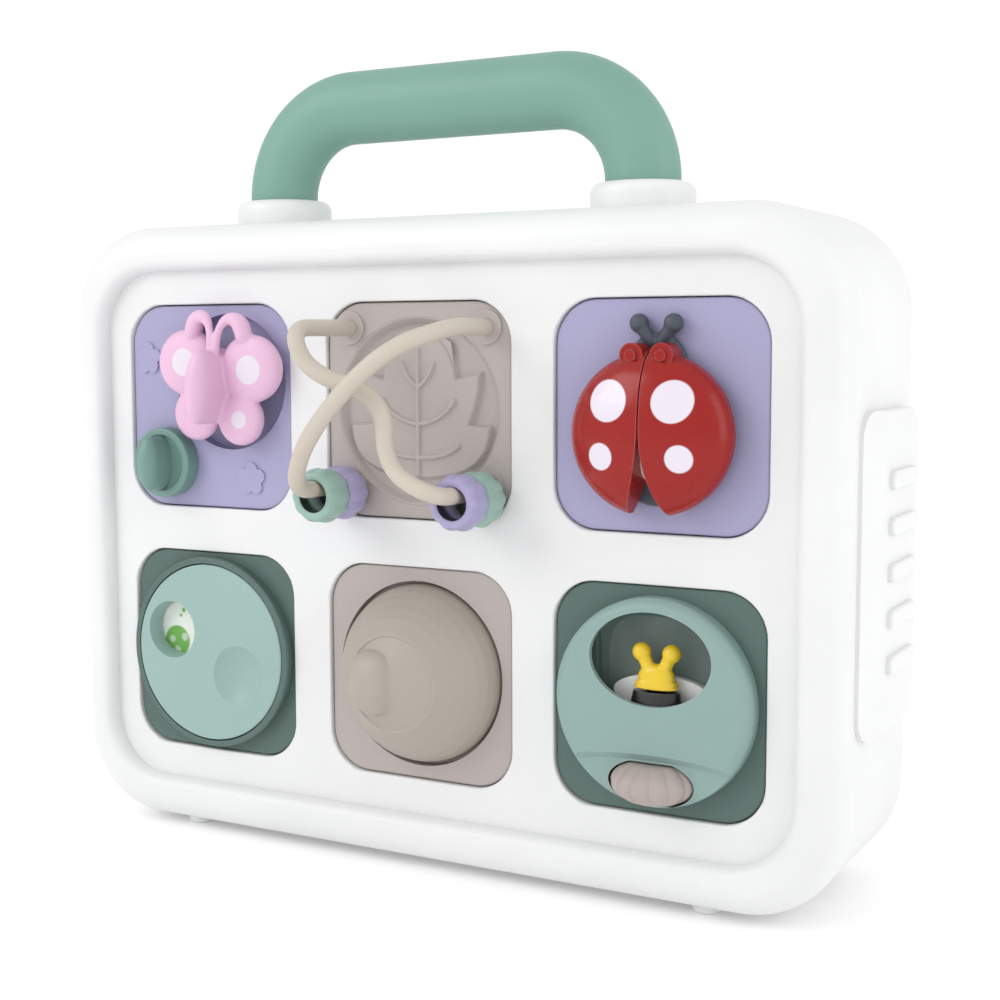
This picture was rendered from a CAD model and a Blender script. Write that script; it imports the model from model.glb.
"""Busy board: moulded surfaces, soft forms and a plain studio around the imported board.

Forms are drawn in millimetres on the face of the board: right, up and out from the middle of a window.
"""

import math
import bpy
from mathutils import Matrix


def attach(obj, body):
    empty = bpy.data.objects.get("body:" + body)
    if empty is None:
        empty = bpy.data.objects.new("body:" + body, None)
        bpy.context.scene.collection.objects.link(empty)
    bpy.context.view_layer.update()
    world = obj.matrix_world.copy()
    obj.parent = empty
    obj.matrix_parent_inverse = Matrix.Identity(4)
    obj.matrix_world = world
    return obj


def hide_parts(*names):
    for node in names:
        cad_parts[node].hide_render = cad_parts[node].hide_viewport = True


bl_info = {
    "name": "Busy board",
    "version": (1, 0, 0),
    "blender": (4, 5, 0),
    "location": "3D View > Sidebar > Busy board",
    "description": "Builds the surfaces and soft forms of a toddler's busy board",
    "category": "Object",
}

import bpy
import numpy as np
from bpy.props import FloatProperty, FloatVectorProperty, IntProperty, PointerProperty
from bpy.types import Operator, Panel, PropertyGroup
from mathutils import Matrix, Vector

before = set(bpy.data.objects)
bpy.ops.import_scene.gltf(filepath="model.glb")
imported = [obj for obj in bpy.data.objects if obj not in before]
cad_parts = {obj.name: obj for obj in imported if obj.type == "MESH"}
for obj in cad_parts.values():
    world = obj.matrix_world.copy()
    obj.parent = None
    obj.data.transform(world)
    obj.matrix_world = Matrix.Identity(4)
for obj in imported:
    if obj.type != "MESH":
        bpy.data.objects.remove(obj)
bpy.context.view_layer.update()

# ---- Columns and rows of windows, and the ends of the bead wires in millimetres ----
LEFT, MIDDLE, RIGHT = -1, 0, 1
LOWER, UPPER = -1, 1
END_ACROSS, END_TOP, END_LOW, END_DEEP = 21.6, 22.6, -20.6, -12.4


# ---- Settings ----
def colour_setting(name, description, default):
    return FloatVectorProperty(name=name, description=description, default=default, subtype="COLOR",
                               size=3, min=0.0, max=1.0)


def length_setting(name, description, default):
    return FloatProperty(name=name, description=description, default=default, unit="LENGTH",
                         subtype="DISTANCE", precision=4)


class BoardLayout(PropertyGroup):
    """Where the windows lie on the board."""

    pitch_across: length_setting("Pitch across", "Distance between windows side by side", 0.071)
    pitch_up: length_setting("Pitch up", "Distance between the two rows of windows", 0.0726)
    face_front: length_setting("Face position", "Where the flat front face stands, front to back", -0.0131)
    face_middle: length_setting("Face middle", "Height of the middle of the face above the floor", 0.0915)


class BoardColours(PropertyGroup):
    """Colours of the plastics."""

    white: colour_setting("White", "Case, collars, pads and feet", (0.760, 0.764, 0.769))
    handle: colour_setting("Handle", "Carry handle", (0.176, 0.343, 0.281))
    mint: colour_setting("Mint", "Picture dial", (0.291, 0.427, 0.398))
    deep_mint: colour_setting("Deep mint", "Bee cover", (0.246, 0.361, 0.336))
    green: colour_setting("Green", "Two beads", (0.300, 0.455, 0.395))
    knob: colour_setting("Knob", "Small turning knob", (0.165, 0.295, 0.255))
    lavender: colour_setting("Lavender", "Butterfly and ladybird panels", (0.360, 0.344, 0.527))
    lilac: colour_setting("Lilac", "Two beads", (0.365, 0.335, 0.530))
    taupe: colour_setting("Taupe", "Leaf and cone panels", (0.431, 0.383, 0.368))
    forest: colour_setting("Forest", "Dial and bee panels", (0.085, 0.137, 0.121))
    pink: colour_setting("Pink", "Butterfly", (0.740, 0.470, 0.650))
    red: colour_setting("Red", "Ladybird wings", (0.300, 0.008, 0.005))
    slate: colour_setting("Slate", "Ladybird head and base", (0.062, 0.075, 0.100))
    cream: colour_setting("Cream", "Ladybird belly", (0.820, 0.790, 0.710))
    wire: colour_setting("Wire", "Bent bead wires", (0.552, 0.497, 0.423))
    sand: colour_setting("Sand", "Cone knob", (0.388, 0.347, 0.302))
    roller: colour_setting("Roller", "Thumb roller", (0.410, 0.350, 0.330))
    yellow: colour_setting("Yellow", "Bee head", (0.780, 0.540, 0.020))
    bright: colour_setting("Bright white", "Bee wings", (0.900, 0.900, 0.900))
    black: colour_setting("Black", "Bee body", (0.012, 0.012, 0.012))
    spot: colour_setting("Spots", "Round spots on wings", (0.740, 0.680, 0.760))
    natural: colour_setting("Natural", "Hidden gears and washers", (0.640, 0.630, 0.570))
    steel: colour_setting("Steel", "Screws and pins", (0.500, 0.500, 0.500))


class BoardFinish(PropertyGroup):
    """How fine and how worn the plastic is."""

    grain_size: length_setting("Grain size", "Width of the fine moulded grain", 0.0004)
    grain_depth: length_setting("Grain depth", "Height of the fine moulded grain", 0.000012)
    edge_wear: FloatProperty(name="Edge wear", description="How much lighter rubbed edges are",
                             default=0.16, min=0.0, max=1.0, subtype="FACTOR")
    variation: FloatProperty(name="Colour variation", description="Strength of the cloudy variation",
                             default=0.05, min=0.0, max=1.0, subtype="FACTOR")
    softness: IntProperty(name="Softness", description="Rounds of softening on joined forms",
                          default=9, min=0, max=40)


class BoardStage(PropertyGroup):
    """Camera, floor and light."""

    camera_right: length_setting("Camera right", "Camera position, to the right", 0.22422)
    camera_front: length_setting("Camera front", "Camera position, front to back", -0.37832)
    camera_up: length_setting("Camera up", "Camera position, above the floor", 0.14695)
    lens: FloatProperty(name="Lens", description="Focal length in millimetres", default=56.72, min=10.0)
    key_power: FloatProperty(name="Key light", description="Power of the large light at the left, in watts",
                             default=4.8, min=0.0)
    fill_power: FloatProperty(name="Fill light", description="Power of the light at the right, in watts",
                              default=4.5, min=0.0)
    floor_glow: FloatProperty(name="Floor glow", description="How much the pale backdrop shines by itself",
                              default=0.11, min=0.0, max=1.0)
    room_light: FloatProperty(name="Room light", description="Brightness of the white surroundings",
                              default=0.92, min=0.0)


# ---- Shader building ----
class Socket:
    """An output socket that can be used in plain arithmetic."""

    def __init__(self, paint, socket):
        self.paint = paint
        self.socket = socket

    def __add__(self, other):
        return self.paint.math("ADD", self, other)

    def __radd__(self, other):
        return self.paint.math("ADD", other, self)

    def __sub__(self, other):
        return self.paint.math("SUBTRACT", self, other)

    def __rsub__(self, other):
        return self.paint.math("SUBTRACT", other, self)

    def __mul__(self, other):
        return self.paint.math("MULTIPLY", self, other)

    def __rmul__(self, other):
        return self.paint.math("MULTIPLY", other, self)

    def __truediv__(self, other):
        return self.paint.math("DIVIDE", self, other)

    def __rtruediv__(self, other):
        return self.paint.math("DIVIDE", other, self)

    def __pow__(self, other):
        return self.paint.math("POWER", self, other)

    def __rpow__(self, other):
        return self.paint.math("POWER", other, self)

class Paint:
    """A material and the few ways its nodes are made."""

    def __init__(self, name):
        self.material = bpy.data.materials.new(name)
        self.material.use_nodes = True
        self.nodes = self.material.node_tree.nodes
        self.links = self.material.node_tree.links
        self.nodes.clear()
        self.output = self.node("ShaderNodeOutputMaterial")
        self.place = self.out(self.node("ShaderNodeTexCoord"), "Object")

    def node(self, kind, settings=None, sockets=None):
        """Adds one node: its type, then its settings, then what goes into its sockets."""
        node = self.nodes.new(kind)
        for key, value in (settings or {}).items():
            setattr(node, key, value)
        for key, value in (sockets or {}).items():
            if isinstance(value, Socket):
                self.links.new(value.socket, node.inputs[key])
            else:
                node.inputs[key].default_value = value
        return node

    def out(self, node, key=0):
        return Socket(self, node.outputs[key])

    def math(self, operation, first, second=0.0, clamp=False):
        settings = {"operation": operation, "use_clamp": clamp}
        return self.out(self.node("ShaderNodeMath", settings, {0: first, 1: second}))

    def mix(self, factor, first, second):
        """Blends two colours, through the sockets that a Mix node keeps for colours."""
        factor_in, first_in, second_in, colour_out = 0, 6, 7, 2
        node = self.node("ShaderNodeMix", {"data_type": "RGBA"},
                         {factor_in: factor, first_in: first, second_in: second})
        return self.out(node, colour_out)

    def noise(self, width, detail, roughness=0.5, stretch=None):
        """Noise whose patches are about as wide as the given length."""
        place = self.place
        if stretch:
            place = self.out(self.node("ShaderNodeVectorMath", {"operation": "MULTIPLY"},
                                       {0: place, 1: stretch}))
        node = self.node("ShaderNodeTexNoise", None,
                         {"Vector": place, "Scale": 1.0 / width, "Detail": detail, "Roughness": roughness})
        return self.out(node)

    def worn_edges(self, amount, width=0.0007, patch_width=0.012):
        """Patchy mask along edges, where a rounded normal leaves the flat one."""
        rounded = self.out(self.node("ShaderNodeBevel", {"samples": 4}, {"Radius": width}))
        flat = self.out(self.node("ShaderNodeNewGeometry"), "Normal")
        agree = self.out(self.node("ShaderNodeVectorMath", {"operation": "DOT_PRODUCT"},
                                   {0: rounded, 1: flat}), "Value")
        patchy = self.noise(patch_width, 3.0)
        return self.math("MULTIPLY", self.math("MULTIPLY", 1.0 - agree, 4.0, True),
                         patchy * (2.0 * amount), True)

    def axes(self):
        """The three coordinates of the shaded point."""
        node = self.node("ShaderNodeSeparateXYZ", None, {0: self.place})
        return [self.out(node, index) for index in range(3)]

    def spot(self, across, up, radius, edge):
        """Mask of a round spot on the face, softened over the width of its edge."""
        x, _, z = self.axes()
        distance = self.math("SQRT", ((x - across) / radius) ** 2.0 + ((z - up) / radius) ** 2.0)
        return self.math("MULTIPLY", 1.0 + edge / radius / 2 - distance, radius / edge, True)

    def finish(self, colour, roughness, height=None, depth=0.0, constants=None):
        """Wires colour, roughness and bump into one surface."""
        sockets = {"Base Color": colour, "Roughness": roughness}
        if height is not None:
            bump = self.node("ShaderNodeBump", None, {"Height": height, "Strength": 1.0, "Distance": depth})
            sockets["Normal"] = self.out(bump)
        sockets.update(constants or {})
        shader = self.node("ShaderNodeBsdfPrincipled", None, sockets)
        self.links.new(shader.outputs[0], self.output.inputs[0])
        return self.material


def rgba(colour, factor=1.0):
    """Opaque colour, made darker or lighter by a factor."""
    return tuple(min(1.0, c * factor) for c in colour) + (1.0,)


def plastic(name, colour, roughness, coat=0.0, marks=None, constants=None):
    """Moulded plastic: cloudy colour, fine grain, patchy gloss and rubbed edges. Marks are printed on top."""
    cloud_width, speck_width = 0.03, 0.0022
    speck_level, speck_dark = 0.62, 0.90
    paleness = 0.45
    finish = bpy.context.scene.board_finish
    paint = Paint(name)
    cloud = paint.noise(cloud_width, 3.0)
    grain = paint.noise(finish.grain_size, 2.0, 0.6)
    speck = paint.noise(speck_width, 2.0, 0.7)
    tint = paint.mix(cloud, rgba(colour, 1.0 - finish.variation), rgba(colour, 1.0 + finish.variation))
    tint = paint.mix(paint.math("MULTIPLY", speck - speck_level, 1.6, True), tint, rgba(colour, speck_dark))
    pale = tuple(c + (1.0 - c) * paleness for c in colour)
    tint = paint.mix(paint.worn_edges(finish.edge_wear), tint, rgba(pale))
    rough = roughness - 0.05 + 0.1 * cloud + 0.05 * speck
    for mask, mark_colour in (marks(paint) if marks else []):
        tint = paint.mix(mask, tint, rgba(mark_colour))
    shared = {"Coat Weight": coat, "Coat Roughness": 0.12, "Specular IOR Level": 0.45}
    shared.update(constants or {})
    return paint.finish(tint, rough, grain + 0.6 * speck, finish.grain_depth, shared)


def metal(name, colour):
    """Plated steel with drawing marks and dulled patches."""
    line_width, line_depth, patch_width = 0.0006, 0.00001, 0.004
    dulled, clean, rubbed = 0.8, 1.15, 1.4
    paint = Paint(name)
    drawn = paint.noise(line_width, 3.0, 0.7, stretch=(1.0, 0.08, 1.0))
    dull = paint.noise(patch_width, 3.0)
    tint = paint.mix(dull, rgba(colour, dulled), rgba(colour, clean))
    tint = paint.mix(paint.worn_edges(0.5), tint, rgba(colour, rubbed))
    return paint.finish(tint, 0.25 + 0.25 * dull, drawn, line_depth, {"Metallic": 1.0})


def dress(material, *nodes):
    """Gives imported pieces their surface."""
    for node in nodes:
        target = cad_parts[node]
        target.data.materials.clear()
        target.data.materials.append(material)
        for polygon in target.data.polygons:
            polygon.material_index = 0


# ---- Forms ----
def on_board(points, column, row):
    """Millimetres on the face of one window (right, up, out) as metres in the room."""
    layout = bpy.context.scene.board_layout
    points = np.asarray(points, float) / 1000.0
    placed = np.empty_like(points)
    placed[:, 0] = points[:, 0] + column * layout.pitch_across
    placed[:, 1] = layout.face_front - points[:, 2]
    placed[:, 2] = points[:, 1] + layout.face_middle + row * layout.pitch_up / 2
    return placed


def printed(dots, column, row, edge=0.00035):
    """Marks for plastic: each dot is its place to the right and up, its radius and its colour."""
    def marks(paint):
        found = []
        for x, y, radius, colour in dots:
            across, _, up = on_board([(x, y, 0.0)], column, row)[0]
            found.append((paint.spot(float(across), float(up), radius / 1000, edge), colour))
        return found
    return marks


def tilt(points, degrees, centre=(0.0, 0.0)):
    """Turns points on the face about a centre, anticlockwise."""
    points = np.array(points, float)
    angle = math.radians(degrees)
    x = points[:, 0] - centre[0]
    y = points[:, 1] - centre[1]
    points[:, 0] = centre[0] + x * math.cos(angle) - y * math.sin(angle)
    points[:, 1] = centre[1] + x * math.sin(angle) + y * math.cos(angle)
    return points


def add_piece(name, points, faces, material, body):
    """Links a mesh into the scene and lets it ride on a body."""
    mesh = bpy.data.meshes.new(name)
    mesh.from_pydata([tuple(p) for p in points], [], faces)
    mesh.update()
    piece = bpy.data.objects.new(name, mesh)
    bpy.context.scene.collection.objects.link(piece)
    mesh.shade_smooth()
    mesh.materials.append(material)
    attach(piece, body)
    return piece


def round_angles(sides):
    """Evenly spaced angles once around a circle."""
    return [2 * math.pi * side / sides for side in range(sides)]


def ring_faces(rings, sides, flip=False):
    """Quads between rings of points, which are given by their numbers, in order."""
    faces = []
    for ring, following in zip(rings, rings[1:]):
        for side in range(sides):
            after = (side + 1) % sides
            quad = (ring * sides + side, ring * sides + after,
                    following * sides + after, following * sides + side)
            faces.append(quad[::-1] if flip else quad)
    return faces


def capped_faces(rings, sides):
    """Quads between rings of points, with a flat face on each end."""
    first = tuple(range(sides))
    last = tuple(range((rings - 1) * sides, rings * sides))
    return ring_faces(range(rings), sides) + [first[::-1], last]


def ellipsoid(centre, half, power=2.0, rings=28, sides=48):
    """Closed egg; a power above two flattens its top and bottom."""
    points = []
    for ring in range(1, rings):
        level = math.cos(math.pi * ring / rings)
        height = math.copysign(abs(level) ** (2.0 / power), level)
        width = math.sin(math.pi * ring / rings) ** (2.0 / power)
        for angle in round_angles(sides):
            points.append((half[0] * width * math.cos(angle), half[1] * width * math.sin(angle),
                           half[2] * height))
    points += [(0, 0, half[2]), (0, 0, -half[2])]
    faces = ring_faces(range(rings - 1), sides, flip=True)
    top, bottom = len(points) - 2, len(points) - 1
    last = (rings - 2) * sides
    for side in range(sides):
        after = (side + 1) % sides
        faces.append((top, side, after))
        faces.append((bottom, last + after, last + side))
    return np.array(points) + np.array(centre), faces


def pillar(x, y, half_x, half_y, low, level, crown, sides=64, steps=12):
    """Closed upright column with an oval plan and a rounded top."""
    rings = [(1.0, low), (1.0, level)]
    for step in range(1, steps):
        angle = math.pi / 2 * step / steps
        rings.append((math.cos(angle), level + crown * math.sin(angle)))
    points = []
    for width, height in rings:
        for angle in round_angles(sides):
            points.append((x + half_x * width * math.cos(angle), y + half_y * width * math.sin(angle),
                           height))
    return np.array(points), capped_faces(len(rings), sides)


def tube(path, radii, sides=24):
    """Closed tube along a path, with round ends; radii is one radius or one for each point."""
    path = [Vector(p) for p in path]
    if not hasattr(radii, "__len__"):
        radii = [radii] * len(path)
    end_rings = 4
    end_angles = [math.pi / 2 * (step + 0.5) / end_rings for step in range(end_rings)]
    first = (path[1] - path[0]).normalized()
    last = (path[-1] - path[-2]).normalized()
    rings = []
    for angle in end_angles:
        rings.append((path[0] - first * radii[0] * math.cos(angle), radii[0] * math.sin(angle), first))
    for index, point in enumerate(path):
        ahead = path[min(index + 1, len(path) - 1)] - path[max(index - 1, 0)]
        rings.append((point, radii[index], ahead.normalized()))
    for angle in end_angles:
        rings.append((path[-1] + last * radii[-1] * math.sin(angle), radii[-1] * math.cos(angle), last))
    across = first.orthogonal().normalized()
    points = []
    for centre, radius, along in rings:
        across = (across - along * across.dot(along)).normalized()
        up = along.cross(across)
        for angle in round_angles(sides):
            points.append(tuple(centre + (across * math.cos(angle) + up * math.sin(angle)) * radius))
    return np.array(points), capped_faces(len(rings), sides)


def bend(start, middle, end, steps):
    """Points of a parabola after its start, drawn towards its middle point."""
    start, middle, end = (np.array(point, float) for point in (start, middle, end))
    shares = [step / steps for step in range(1, steps + 1)]
    return [(1 - t) ** 2 * start + 2 * t * (1 - t) * middle + t * t * end for t in shares]


def smooth_curve(corners, steps):
    """Rounded path that starts and ends at the outer corners and bends around the others."""
    corners = [np.array(c, float) for c in corners]
    points = [corners[0]]
    for index in range(1, len(corners) - 1):
        before = corners[0] if index == 1 else (corners[index - 1] + corners[index]) / 2
        after = corners[-1] if index == len(corners) - 2 else (corners[index] + corners[index + 1]) / 2
        points += bend(before, corners[index], after, steps)
    return points


def melt(name, blobs, material, body, column, row, voxel=0.36, turn=0.0, pivot=(0.0, 0.0)):
    """Joins overlapping closed forms into one skin and softens the creases between them."""
    points = []
    faces = []
    for blob_points, blob_faces in blobs:
        start = len(points)
        points += list(blob_points)
        faces += [tuple(start + index for index in face) for face in blob_faces]
    points = np.array(points)
    if turn:
        points = tilt(points, turn, pivot)
    piece = add_piece(name, on_board(points, column, row), faces, material, body)
    join = piece.modifiers.new("Join", "REMESH")
    join.mode = "VOXEL"
    join.voxel_size = voxel / 1000.0
    soften = piece.modifiers.new("Soften", "SMOOTH")
    soften.factor = 0.5
    soften.iterations = bpy.context.scene.board_finish.softness
    graph = bpy.context.evaluated_depsgraph_get()
    joined = bpy.data.meshes.new_from_object(piece.evaluated_get(graph))
    piece.modifiers.clear()
    piece.data = joined
    joined.materials.clear()
    joined.materials.append(material)
    joined.shade_smooth()
    return piece


def relief(name, radius, height, low, material, body, column, row, rings, sides, centre=(0.0, 0.0),
           power=1.0):
    """Slab inside a radius, or a radius for each angle, whose top follows a height function."""
    share = (np.arange(1, rings + 1) / rings) ** power
    angles = 2 * np.pi * np.arange(sides) / sides
    reach = radius(angles) if callable(radius) else np.full(sides, radius)
    x = np.outer(share, reach * np.cos(angles)).ravel() + centre[0]
    y = np.outer(share, reach * np.sin(angles)).ravel() + centre[1]
    top = np.column_stack([x, y, height(x, y)])
    rim = np.column_stack([x[-sides:], y[-sides:], np.full(sides, low)])
    peak = float(height(np.array([centre[0]]), np.array([centre[1]]))[0])
    middle = np.array([(*centre, peak), (*centre, low)])
    points = np.vstack([top, rim, middle])
    faces = ring_faces(range(rings + 1), sides, flip=True)
    last = rings * sides
    top_middle, low_middle = last + sides, last + sides + 1
    for side in range(sides):
        after = (side + 1) % sides
        faces.append((top_middle, side, after))
        faces.append((low_middle, last + after, last + side))
    return add_piece(name, on_board(points, column, row), faces, material, body)


def bowed(corners, bulges, steps=8):
    """Chain of shallow curves between corners; a bulge is how far a curve leaves its chord, to the left."""
    points = [corners[0]]
    for (ax, ay), (bx, by), bulge in zip(corners, corners[1:], bulges):
        length = math.hypot(bx - ax, by - ay)
        middle = ((ax + bx) / 2 - 2 * bulge * (by - ay) / length,
                  (ay + by) / 2 + 2 * bulge * (bx - ax) / length)
        points += [tuple(point) for point in bend((ax, ay), middle, (bx, by), steps)]
    return points


def soft_max(first, second, blend):
    """The larger of two heights, with a fillet of about the blend's size between them."""
    gap = np.clip(0.5 + 0.5 * (second - first) / blend, 0, 1)
    return first * (1 - gap) + second * gap + blend * gap * (1 - gap)


def soft_step(value):
    """Smooth rise from 0 to 1 while the value goes from 0 to 1."""
    value = np.clip(value, 0, 1)
    return value * value * (3 - 2 * value)


def distance_to_path(x, y, path):
    """Shortest distance of each point on the face from a chain of straight lines."""
    best = np.full(x.shape, 1e9)
    for (ax, ay), (bx, by) in zip(path, path[1:]):
        length = (bx - ax) ** 2 + (by - ay) ** 2
        t = np.clip(((x - ax) * (bx - ax) + (y - ay) * (by - ay)) / length, 0, 1)
        best = np.minimum(best, np.hypot(x - ax - t * (bx - ax), y - ay - t * (by - ay)))
    return best


def inside_path(x, y, path):
    """Whether each point on the face lies inside a closed chain."""
    inside = np.zeros(x.shape, bool)
    for (ax, ay), (bx, by) in zip(path, path[1:]):
        crosses = ((ay > y) != (by > y)) & (x < (bx - ax) * (y - ay) / (by - ay + 1e-12) + ax)
        inside ^= crosses
    return inside


# ---- Pieces ----
class BOARD_OT_case(Operator):
    """Paint the white shells, pads, collars and feet."""

    bl_idname = "board.case"
    bl_label = "Case"

    def execute(self, context):
        colours = context.scene.board_colours
        white = plastic("Case white", colours.white, 0.38)
        dress(white, "front_shell", "rear_shell")
        trim = plastic("Trim white", colours.white, 0.34)
        dress(trim, "side_pad_left", "side_pad_right", "handle_collar_left", "handle_collar_right", "feet")
        return {"FINISHED"}


class BOARD_OT_handle(Operator):
    """Paint the carry handle."""

    bl_idname = "board.handle"
    bl_label = "Handle"

    def execute(self, context):
        dress(plastic("Handle green", context.scene.board_colours.handle, 0.45), "handle")
        return {"FINISHED"}


class BOARD_OT_panels(Operator):
    """Paint the six window panels."""

    bl_idname = "board.panels"
    bl_label = "Panels"

    def execute(self, context):
        colours = context.scene.board_colours
        dress(plastic("Panel lavender", colours.lavender, 0.5), "butterfly_panel", "ladybird_panel")
        dress(plastic("Panel taupe", colours.taupe, 0.5), "leaf_panel", "cone_panel")
        dress(plastic("Panel forest", colours.forest, 0.5), "picture_panel", "bee_panel")
        return {"FINISHED"}


class BOARD_OT_butterfly(Operator):
    """Build the butterfly as one soft form with printed spots."""

    bl_idname = "board.butterfly"
    bl_label = "Butterfly"

    def execute(self, context):
        colours = context.scene.board_colours
        centre = (7.3, 7.3)
        lean = -4.0
        dots = [(x, y, radius, colours.spot) for x, y, radius in
                ((20.1, 11.0, 4.1), (-3.1, 13.1, 4.0), (15.8, -3.2, 2.5), (0.6, -1.6, 2.5))]
        upper_wing, lower_wing = (10.4, 9.7, 3.6), (7.7, 7.7, 3.1)
        feeler_stations, feeler_radii = (0, 0.35, 0.62, 0.85, 1), (1.3, 1.15, 1.9, 2.6, 2.5)
        blobs = []
        for side in (-1, 1):
            blobs.append(ellipsoid((side * 11.3, 4.8, 4.0), upper_wing, 2.5))
            blobs.append(ellipsoid((side * 7.9, -9.8, 3.6), lower_wing, 2.5))
            feeler = smooth_curve([(side * 1.0, 6.6, 7.6), (side * 0.6, 12.6, 7.6), (side * 3.2, 18.6, 6.8),
                                   (side * 8.2, 18.2, 5.6), (side * 9.2, 13.6, 5.4)], 10)
            radii = np.interp(np.linspace(0, 1, len(feeler)), feeler_stations, feeler_radii)
            blobs.append(tube(feeler, list(radii)))
        blobs.append(ellipsoid((0, -1.0, 3.6), (6.0, 11.0, 3.0)))
        blobs.append(pillar(0, -1.2, half_x=3.8, half_y=10.6, low=2.0, level=13.6, crown=3.8))
        blobs.append(tube([(0, 0, -9), (0, 0, 4)], 2.4))
        moved = [(points + np.array([*centre, 0.0]), faces) for points, faces in blobs]
        pink = plastic("Butterfly pink", colours.pink, 0.4, marks=printed(dots, LEFT, UPPER))
        butterfly = melt("butterfly", moved, pink, "butterfly", LEFT, UPPER, turn=lean, pivot=centre)
        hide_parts("butterfly_knob")
        return {"FINISHED"}


class BOARD_OT_small_knob(Operator):
    """Paint the small turning knob."""

    bl_idname = "board.small_knob"
    bl_label = "Small knob"

    def execute(self, context):
        dress(plastic("Knob green", context.scene.board_colours.knob, 0.38), "turn_knob")
        return {"FINISHED"}


class BOARD_OT_leaf(Operator):
    """Press the veined leaf into its round recess."""

    bl_idname = "board.leaf"
    bl_label = "Leaf"

    def execute(self, context):
        half = bowed([(0, 22.8), (11.4, 8.6), (18.8, 10.2), (15.2, -3.6), (21.8, -4.2), (17.4, -14.0),
                      (9.0, -17.2), (0, -18.2)], (3.0, -0.3, 0.9, -0.2, 1.2, 0.6, 0.2))
        outline = half + [(-x, y) for x, y in reversed(half[1:-1])] + [half[0]]
        veins = [[(0, -17.4), (0, 16.6)]]
        for side in (-1, 1):
            for root, middle, tip in (((0, 6.6), (3.4, 8.2), (4.8, 12.8)),
                                      ((0, -3.6), (8.0, -2.6), (11.4, 3.0)),
                                      ((0, -12.6), (8.6, -12.8), (12.6, -9.2))):
                curve = smooth_curve([root, middle, tip], 8)
                veins.append([(side * x, y) for x, y in curve])

        radius, underside = 25.75, -3.6
        floor, leaf_height, bank_height, vein_height = -3.33, 1.9, 2.3, 0.85
        leaf_slope, bank_start, bank_width = 1.4, 23.3, 2.3
        vein_crest, vein_slope = 0.3, 0.65

        def height(x, y):
            away = distance_to_path(x, y, outline)
            signed = np.where(inside_path(x, y, outline), away, -away)
            leaf = floor + leaf_height * soft_step((signed + 1.0) / leaf_slope)
            bank = floor + bank_height * soft_step((np.hypot(x, y) - bank_start) / bank_width)
            vein = np.min([distance_to_path(x, y, path) for path in veins], axis=0)
            return np.maximum(leaf, bank) + vein_height * soft_step(1 - (vein - vein_crest) / vein_slope)

        taupe = plastic("Leaf taupe", context.scene.board_colours.taupe, 0.5)
        piece = relief("leaf_relief", radius, height, underside, taupe, "case", MIDDLE, UPPER,
                       rings=150, sides=420)
        return {"FINISHED"}


class BOARD_OT_wires(Operator):
    """Bend the two bead wires."""

    bl_idname = "board.wires"
    bl_label = "Bead wires"

    def execute(self, context):
        cream = plastic("Wire cream", context.scene.board_colours.wire, 0.42)
        routes = {
            "left": [(-END_ACROSS, END_TOP, END_DEEP), (-END_ACROSS, END_TOP, 10.0),
                     (-END_ACROSS, END_TOP, 27.5), (-17.0, 10.5, 26.0), (5.0, 5.0, 23.5), (5.0, -13.5, 24.0),
                     (END_ACROSS, END_LOW, 27.0), (END_ACROSS, END_LOW, 9.0),
                     (END_ACROSS, END_LOW, END_DEEP)],
            "right": [(END_ACROSS, END_TOP, END_DEEP), (END_ACROSS, END_TOP, 3.0),
                      (END_ACROSS, END_TOP, 20.0), (8.0, 16.0, 31.5), (-14.0, -5.0, 31.5),
                      (-END_ACROSS, END_LOW, 28.0), (-END_ACROSS, END_LOW, 10.0),
                      (-END_ACROSS, END_LOW, END_DEEP)],
        }
        radius = 2.3
        for word, corners in routes.items():
            points, faces = tube(smooth_curve(corners, 22), radius, 32)
            piece = add_piece(f"bent_wire_{word}", on_board(points, MIDDLE, UPPER), faces, cream, "case")
            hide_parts(f"bead_wire_{word}")
        return {"FINISHED"}


class BOARD_OT_beads(Operator):
    """Shape the four lobed beads."""

    bl_idname = "board.beads"
    bl_label = "Beads"

    def execute(self, context):
        colours = context.scene.board_colours
        green = plastic("Bead green", colours.green, 0.36)
        lilac = plastic("Bead lilac", colours.lilac, 0.36)
        sides, lobes, lobe_depth = 140, 10, 0.55
        play, pitch, half_length = 0.6, 9.2, 4.45
        hang = -22.65
        half_profile = [(4.4, 4.0), (4.55, 4.3), (4.9, half_length), (6.0, half_length), (6.5, 4.2),
                        (7.15, 2.9), (7.5, 1.5), (7.62, 0.0)]
        profile = half_profile + [(radius, -level) for radius, level in reversed(half_profile[:-1])]
        for side, word in ((-1, "left"), (1, "right")):
            for place, end in ((0, "rear"), (1, "front")):
                middle = play + place * pitch + half_length
                points = []
                for radius, level in profile:
                    depth = lobe_depth * max(0.0, min(1.0, (radius - 5.6) / 1.4))
                    for angle in round_angles(sides):
                        lobe = 0.5 + 0.5 * math.cos(lobes * angle)
                        reach = radius - depth * (1 - lobe ** 0.6)
                        points.append((side * END_ACROSS + reach * math.cos(angle),
                                       hang + reach * math.sin(angle), middle + level))
                # Known fault: the bore's quads face the wrong way, into the plastic.
                # Turned round, they make the hole look lighter.
                faces = ring_faces(range(len(profile)), sides, flip=True)
                faces += ring_faces((0, len(profile) - 1), sides, flip=True)
                material = green if (side < 0) == (end == "front") else lilac
                node = f"bead_{word}_{end}"
                piece = add_piece(f"lobed_{node}", on_board(points, MIDDLE, UPPER), faces, material, node)
                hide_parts(node)
        return {"FINISHED"}


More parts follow.
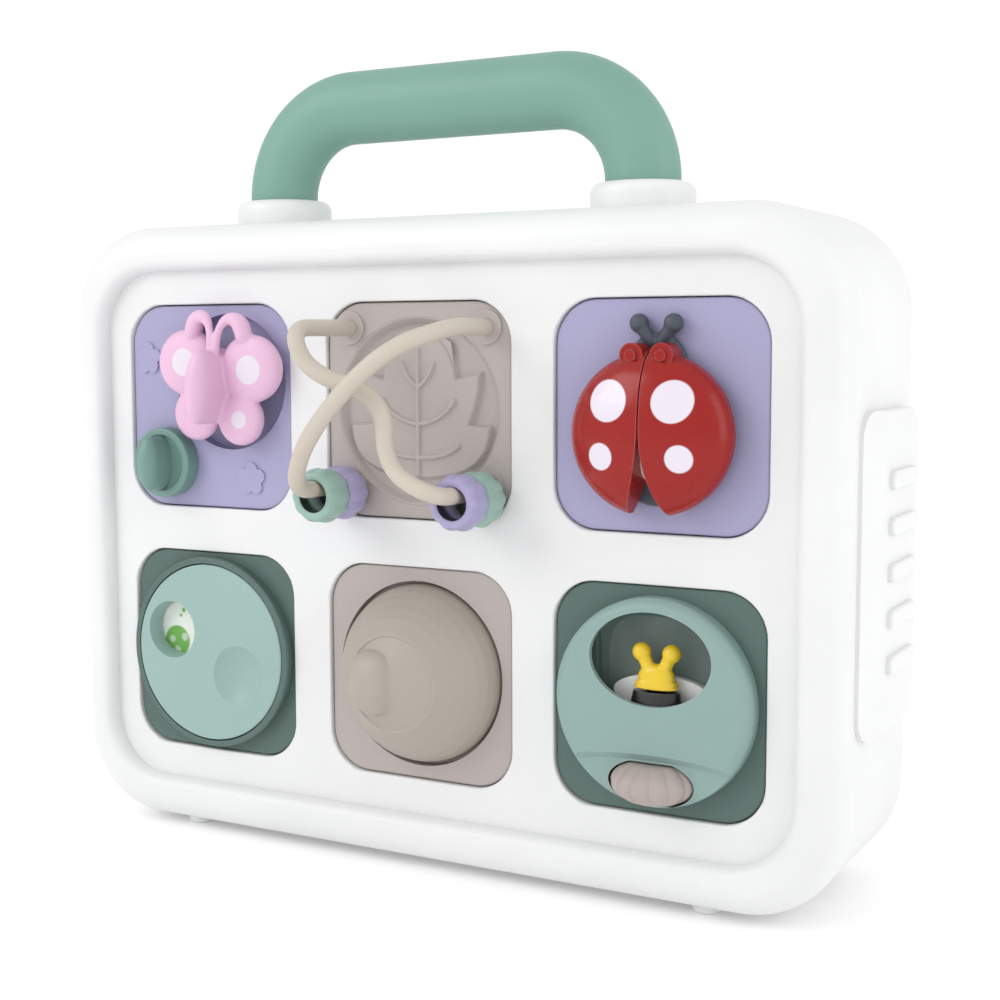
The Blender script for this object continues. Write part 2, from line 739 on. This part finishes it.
class BOARD_OT_ladybird(Operator):
    """Build the ladybird's dark head and base, and its domed belly."""

    bl_idname = "board.ladybird"
    bl_label = "Ladybird"

    def execute(self, context):
        colours = context.scene.board_colours
        slate = plastic("Ladybird slate", colours.slate, 0.45)
        blobs = [ellipsoid((0, -4.3, 0.1), (15.9, 18.4, 1.05), 5.0),
                 ellipsoid((0, 12.9, 0.6), (8.1, 8.1, 1.65), 3.0)]
        for side in (-1, 1):
            blobs.append(tube([(side * 1.3, 18.6, 1.3), (side * 4.6, 23.0, 1.6)], [1.6, 1.9]))
            blobs.append(ellipsoid((side * 4.6, 23.2, 1.6), (2.5, 2.5, 2.4)))
        base = melt("ladybird_base", blobs, slate, "case", RIGHT, UPPER, voxel=0.3)
        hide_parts("ladybird_body")
        points, faces = pillar(0, -4.0, half_x=7.9, half_y=12.4, low=0.1, level=1.0, crown=9.6)
        cream = plastic("Belly cream", colours.cream, 0.5)
        belly = add_piece("domed_belly", on_board(points, RIGHT, UPPER), faces, cream, "case")
        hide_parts("ladybird_belly")
        return {"FINISHED"}


class BOARD_OT_wings(Operator):
    """Paint the ladybird's glossy wings and print their spots."""

    bl_idname = "board.wings"
    bl_label = "Ladybird wings"

    def execute(self, context):
        colours = context.scene.board_colours
        for side, word in ((-1, "left"), (1, "right")):
            dots = [(side * x, y, radius, colours.spot) for x, y, radius in
                    ((8.5, 4.2, 5.2), (10.4, -9.6, 3.4))]
            red = plastic(f"Wing red {word}", colours.red, 0.24, coat=0.2, marks=printed(dots, RIGHT, UPPER),
                          constants={"Specular IOR Level": 0.25})
            dress(red, f"ladybird_wing_{word}")
        return {"FINISHED"}


class BOARD_OT_dial(Operator):
    """Paint the dial and print five little pictures on the disc below it."""

    bl_idname = "board.dial"
    bl_label = "Picture dial"

    def execute(self, context):
        paper = (0.78, 0.82, 0.76)
        inks = ((0.16, 0.42, 0.08), (0.80, 0.50, 0.05), (0.60, 0.08, 0.06), (0.12, 0.28, 0.60),
                (0.60, 0.25, 0.45))
        hole_angle, hole_radius = 157.2, 15.0
        dots = []
        for index, ink in enumerate(inks):
            turn = 360 // len(inks) * index
            angle = math.radians(hole_angle + turn)
            pale = tuple(0.45 * c + 0.42 for c in ink)
            picture = ((-2.2, -4.4, 4.6, ink), (-4.1, -4.0, 1.1, pale), (0.6, -3.1, 1.2, pale),
                       (-2.2, -7.2, 1.1, pale), (-0.7, 3.4, 0.5, ink), (0.4, 5.1, 0.7, ink))
            for x, y, radius, tone in picture:
                x, y = tilt([(x, y)], turn)[0]
                dots.append((hole_radius * math.cos(angle) + x, hole_radius * math.sin(angle) + y, radius,
                             tone))
        dress(plastic("Dial mint", context.scene.board_colours.mint, 0.4), "picture_dial")
        dress(plastic("Picture print", paper, 0.35, marks=printed(dots, LEFT, LOWER, 0.0005)), "picture_disc")
        return {"FINISHED"}


class BOARD_OT_cone(Operator):
    """Shape the round cone knob with its off-centre finger bump."""

    bl_idname = "board.cone"
    bl_label = "Cone knob"

    def execute(self, context):
        curve = [(0.0, 17.2), (3.0, 16.7), (6.0, 15.9), (9.0, 14.95), (11.8, 13.95), (12.7, 13.7),
                 (12.95, 13.95), (13.2, 14.05), (13.5, 13.85), (15.0, 12.6), (17.2, 10.8), (19.6, 8.3),
                 (21.8, 5.4), (23.4, 2.7), (24.4, 0.2), (24.85, -1.6), (24.95, -3.7)]
        radii, levels = zip(*curve)
        edge_radius, edge_level = curve[-1]
        groove_radius = 13.0
        bump_across, bump_foot, bump_height = -5.4, 14.2, 5.4
        steep_reach, gentle_reach, half_height = 6.9, 7.6, 9.0

        def height(x, y):
            level = np.interp(np.hypot(x, y), radii, levels)
            across = x - bump_across
            flank = np.where(across > 0, (np.abs(across) / steep_reach) ** 3.2, (across / gentle_reach) ** 2)
            inside = 1 - flank - (y / half_height) ** 2
            bump = np.where(inside > 0, bump_foot + bump_height * np.sqrt(np.clip(inside, 0, 1)),
                            bump_foot + 6 * inside)
            return np.where(np.hypot(x, y) < groove_radius, soft_max(level, bump, 0.7), level)

        sand = plastic("Cone sand", context.scene.board_colours.sand, 0.42)
        piece = relief("cone_form", edge_radius, height, edge_level, sand, "cone", MIDDLE, LOWER,
                       rings=170, sides=280, power=0.8)
        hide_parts("cone_knob")
        return {"FINISHED"}


class BOARD_OT_bee_cover(Operator):
    """Paint the round cover, line the well behind it and shape the thumb roller."""

    bl_idname = "board.bee_cover"
    bl_label = "Bee cover"

    def execute(self, context):
        colours = context.scene.board_colours
        dress(plastic("Cover mint", colours.deep_mint, 0.4), "bee_cover")
        self.line_well(plastic("Well forest", colours.forest, 0.55))
        self.shape_roller(plastic("Roller taupe", colours.roller, 0.5))
        return {"FINISHED"}

    def line_well(self, forest):
        """Smooth basin behind the bee, from the panel's face down to the rails."""
        middle, low_edge, well_radius, well_centre = 7.0, -10.5, 25.2, 0.1
        underside, floor, wall_height = -5.36, -5.33, 4.4
        basin_centre, basin_across, basin_up, flat_share = 4.0, 20.5, 22.5, 0.72

        def edge(angles):
            """Distance from the middle to the round wall, or to the straight edge below."""
            sine = np.sin(angles)
            drop = middle - well_centre
            circle = -drop * sine + np.sqrt((drop * sine) ** 2 + well_radius ** 2 - drop ** 2)
            line = np.where(sine < -0.05, (low_edge - middle) / np.minimum(sine, -0.05), 99.0)
            return np.minimum(circle, line)

        def height(x, y):
            away = ((np.abs(x) / basin_across) ** 4 + (np.abs(y - basin_centre) / basin_up) ** 4) ** 0.25
            return floor + wall_height * soft_step((away - flat_share) / (1 - flat_share))

        liner = relief("well_liner", edge, height, underside, forest, "case", RIGHT, LOWER,
                       rings=60, sides=160, centre=(0.0, middle))

    def shape_roller(self, taupe):
        """Pumpkin-shaped roller with soft flutes and flat poles around its shaft."""
        sides, flutes, flute_depth = 196, 14, 0.75
        radius_out, bulge, half_width, centre_up = 11.7, 6.0, 4.9, -20.6
        pole_radii = (2.1, 4.0, 5.6)
        steps, last_angle = 13, 54.0
        profile = [(radius, -half_width) for radius in pole_radii]
        for step in range(-steps, steps + 1):
            angle = math.radians(step * last_angle / steps)
            profile.append((radius_out * math.cos(angle), bulge * math.sin(angle)))
        profile += [(radius, half_width) for radius in reversed(pole_radii)]
        points = []
        for radius, level in profile:
            depth = flute_depth * max(0.0, min(1.0, (radius - 5.5) / 3.0))
            for angle in round_angles(sides):
                reach = radius - depth * (1 - abs(math.sin(flutes / 2 * angle)) ** 0.7)
                points.append((reach * math.cos(angle), centre_up + level, reach * math.sin(angle)))
        faces = ring_faces([*range(len(profile)), 0], sides, flip=True)
        roller = add_piece("fluted_roller", on_board(points, RIGHT, LOWER), faces, taupe, "roller")
        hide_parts("bee_roller")


class BOARD_OT_bee(Operator):
    """Build the bee's head, body and wings."""

    bl_idname = "board.bee"
    bl_label = "Bee"

    def execute(self, context):
        colours = context.scene.board_colours
        yellow = plastic("Bee yellow", colours.yellow, 0.32, coat=0.2)
        black = plastic("Bee black", colours.black, 0.3, coat=0.3)
        white = plastic("Bee white", colours.bright, 0.4)
        head = [ellipsoid((0, 6.5, 0), (4.9, 3.3, 2.3), 2.4), ellipsoid((0, 4.7, -0.1), (5.7, 1.6, 2.6), 2.8),
                ellipsoid((0, 3.7, -0.2), (6.2, 0.62, 2.7), 3.0)]
        for side in (-1, 1):
            head.append(tube([(side * 1.9, 8.0, 0), (side * 3.9, 12.2, 0)], [1.7, 1.8]))
            head.append(ellipsoid((side * 4.1, 12.6, 0), (2.45, 2.45, 2.4)))
        piece = melt("bee_face", head, yellow, "bee", RIGHT, LOWER, voxel=0.28)
        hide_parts("bee_head")
        dress(black, "bee_body")
        dress(white, "bee_wings")
        return {"FINISHED"}


class BOARD_OT_hidden(Operator):
    """Paint the gears, washers, lifting screw, screws and pins inside the case."""

    bl_idname = "board.hidden"
    bl_label = "Hidden parts"

    def execute(self, context):
        colours = context.scene.board_colours
        natural = plastic("Natural plastic", colours.natural, 0.45)
        dress(natural, "butterfly_gear", "turn_knob_gear", "wire_nuts", "dial_retainer", "cone_retainer",
              "lift_screw")
        steel = metal("Plated steel", colours.steel)
        dress(steel, "case_screws", "panel_screws", "handle_pins", "butterfly_screw", "turn_knob_screw",
              "wing_screw_left", "wing_screw_right", "dial_screw", "cone_screw", "cover_screws")
        return {"FINISHED"}


class BOARD_OT_stage(Operator):
    """Set up the pale floor, the soft lights and the camera."""

    bl_idname = "board.stage"
    bl_label = "Stage"

    def add_light(self, context, name, place, size, power):
        """Rectangular lamp that points at the middle of the board."""
        aim = (0.0, -0.01, 0.1)
        lamp = bpy.data.lights.new(name, "AREA")
        lamp.energy = power
        lamp.shape = "RECTANGLE"
        lamp.size, lamp.size_y = size
        light = bpy.data.objects.new(name, lamp)
        light.location = place
        light.rotation_euler = (Vector(aim) - Vector(place)).to_track_quat("-Z", "Y").to_euler()
        context.scene.collection.objects.link(light)

    def add_floor(self, context):
        """Floor that sweeps up into a backdrop far behind the board."""
        front, rear, sweep, top, half_width, steps = -2.5, 1.6, 1.0, 3.5, 4.0, 12
        profile = [(front, 0.0), (rear, 0.0)]
        for step in range(1, steps + 1):
            angle = math.pi / 2 * step / steps
            profile.append((rear + sweep * math.sin(angle), sweep - sweep * math.cos(angle)))
        profile.append((rear + sweep, top))
        points = [(x, y, z) for y, z in profile for x in (-half_width, half_width)]
        faces = [(2 * i, 2 * i + 1, 2 * i + 3, 2 * i + 2) for i in range(len(profile) - 1)]
        mesh = bpy.data.meshes.new("floor")
        mesh.from_pydata(points, [], faces)
        mesh.shade_smooth()
        paint = Paint("Floor")
        cloud = paint.noise(0.4, 2.0)
        tint = paint.mix(cloud, rgba((0.92, 0.92, 0.92)), rgba((0.95, 0.95, 0.95)))
        glow = {"Emission Color": rgba((1.0, 1.0, 1.0)),
                "Emission Strength": context.scene.board_stage.floor_glow}
        mesh.materials.append(paint.finish(tint, 0.75 + 0.05 * cloud, constants=glow))
        floor = bpy.data.objects.new("floor", mesh)
        context.scene.collection.objects.link(floor)

    def add_room(self, context):
        """White surroundings that light the board evenly."""
        world = bpy.data.worlds.new("Room")
        world.use_nodes = True
        backdrop = world.node_tree.nodes["Background"]
        backdrop.inputs["Color"].default_value = rgba((1.0, 1.0, 1.0))
        backdrop.inputs["Strength"].default_value = context.scene.board_stage.room_light
        context.scene.world = world
        context.scene.view_settings.view_transform = "Standard"

    def add_camera(self, context):
        """Camera ahead of the board and to its right, looking slightly down."""
        stage = context.scene.board_stage
        camera = bpy.data.cameras.new("Camera")
        camera.lens = stage.lens
        camera.sensor_width = 36.0
        right = Vector((0.8789, 0.4769, -0.0034))
        down = Vector((0.0452, -0.0904, -0.9949))
        forward = Vector((-0.4748, 0.8743, -0.1010))
        turn = Matrix((right, -down, -forward)).transposed()
        holder = bpy.data.objects.new("Camera", camera)
        place = Vector((stage.camera_right, stage.camera_front, stage.camera_up))
        holder.matrix_world = Matrix.Translation(place) @ turn.to_4x4()
        context.scene.collection.objects.link(holder)
        context.scene.camera = holder

    def execute(self, context):
        stage = context.scene.board_stage
        key_place, key_size = (-0.75, -0.85, 0.75), (0.7, 0.7)
        fill_place, fill_size = (1.3, -0.1, 0.5), (0.9, 1.2)
        self.add_floor(context)
        self.add_light(context, "Key", key_place, key_size, stage.key_power)
        self.add_light(context, "Fill", fill_place, fill_size, stage.fill_power)
        self.add_room(context)
        self.add_camera(context)
        return {"FINISHED"}


class BOARD_PT_panel(Panel):
    """Sidebar panel with one button for each piece."""

    bl_idname = "BOARD_PT_panel"
    bl_label = "Busy board"
    bl_space_type = "VIEW_3D"
    bl_region_type = "UI"
    bl_category = "Busy board"

    def draw(self, context):
        for operator in OPERATORS:
            self.layout.operator(operator.bl_idname)


OPERATORS = (
    BOARD_OT_case, BOARD_OT_handle, BOARD_OT_panels, BOARD_OT_butterfly, BOARD_OT_small_knob, BOARD_OT_leaf,
    BOARD_OT_wires, BOARD_OT_beads, BOARD_OT_ladybird, BOARD_OT_wings, BOARD_OT_dial, BOARD_OT_cone,
    BOARD_OT_bee_cover, BOARD_OT_bee, BOARD_OT_hidden, BOARD_OT_stage,
)
GROUPS = {"board_layout": BoardLayout, "board_colours": BoardColours, "board_finish": BoardFinish,
          "board_stage": BoardStage}


def register():
    for group in GROUPS.values():
        bpy.utils.register_class(group)
    for name, group in GROUPS.items():
        setattr(bpy.types.Scene, name, PointerProperty(type=group))
    for operator in OPERATORS:
        bpy.utils.register_class(operator)
    bpy.utils.register_class(BOARD_PT_panel)


def unregister():
    bpy.utils.unregister_class(BOARD_PT_panel)
    for operator in reversed(OPERATORS):
        bpy.utils.unregister_class(operator)
    for name in GROUPS:
        delattr(bpy.types.Scene, name)
    for group in reversed(GROUPS.values()):
        bpy.utils.unregister_class(group)


def main():
    """Builds every piece in order."""
    register()
    for operator in OPERATORS:
        group, name = operator.bl_idname.split(".")
        getattr(getattr(bpy.ops, group), name)()


if __name__ == "__main__":
    main()
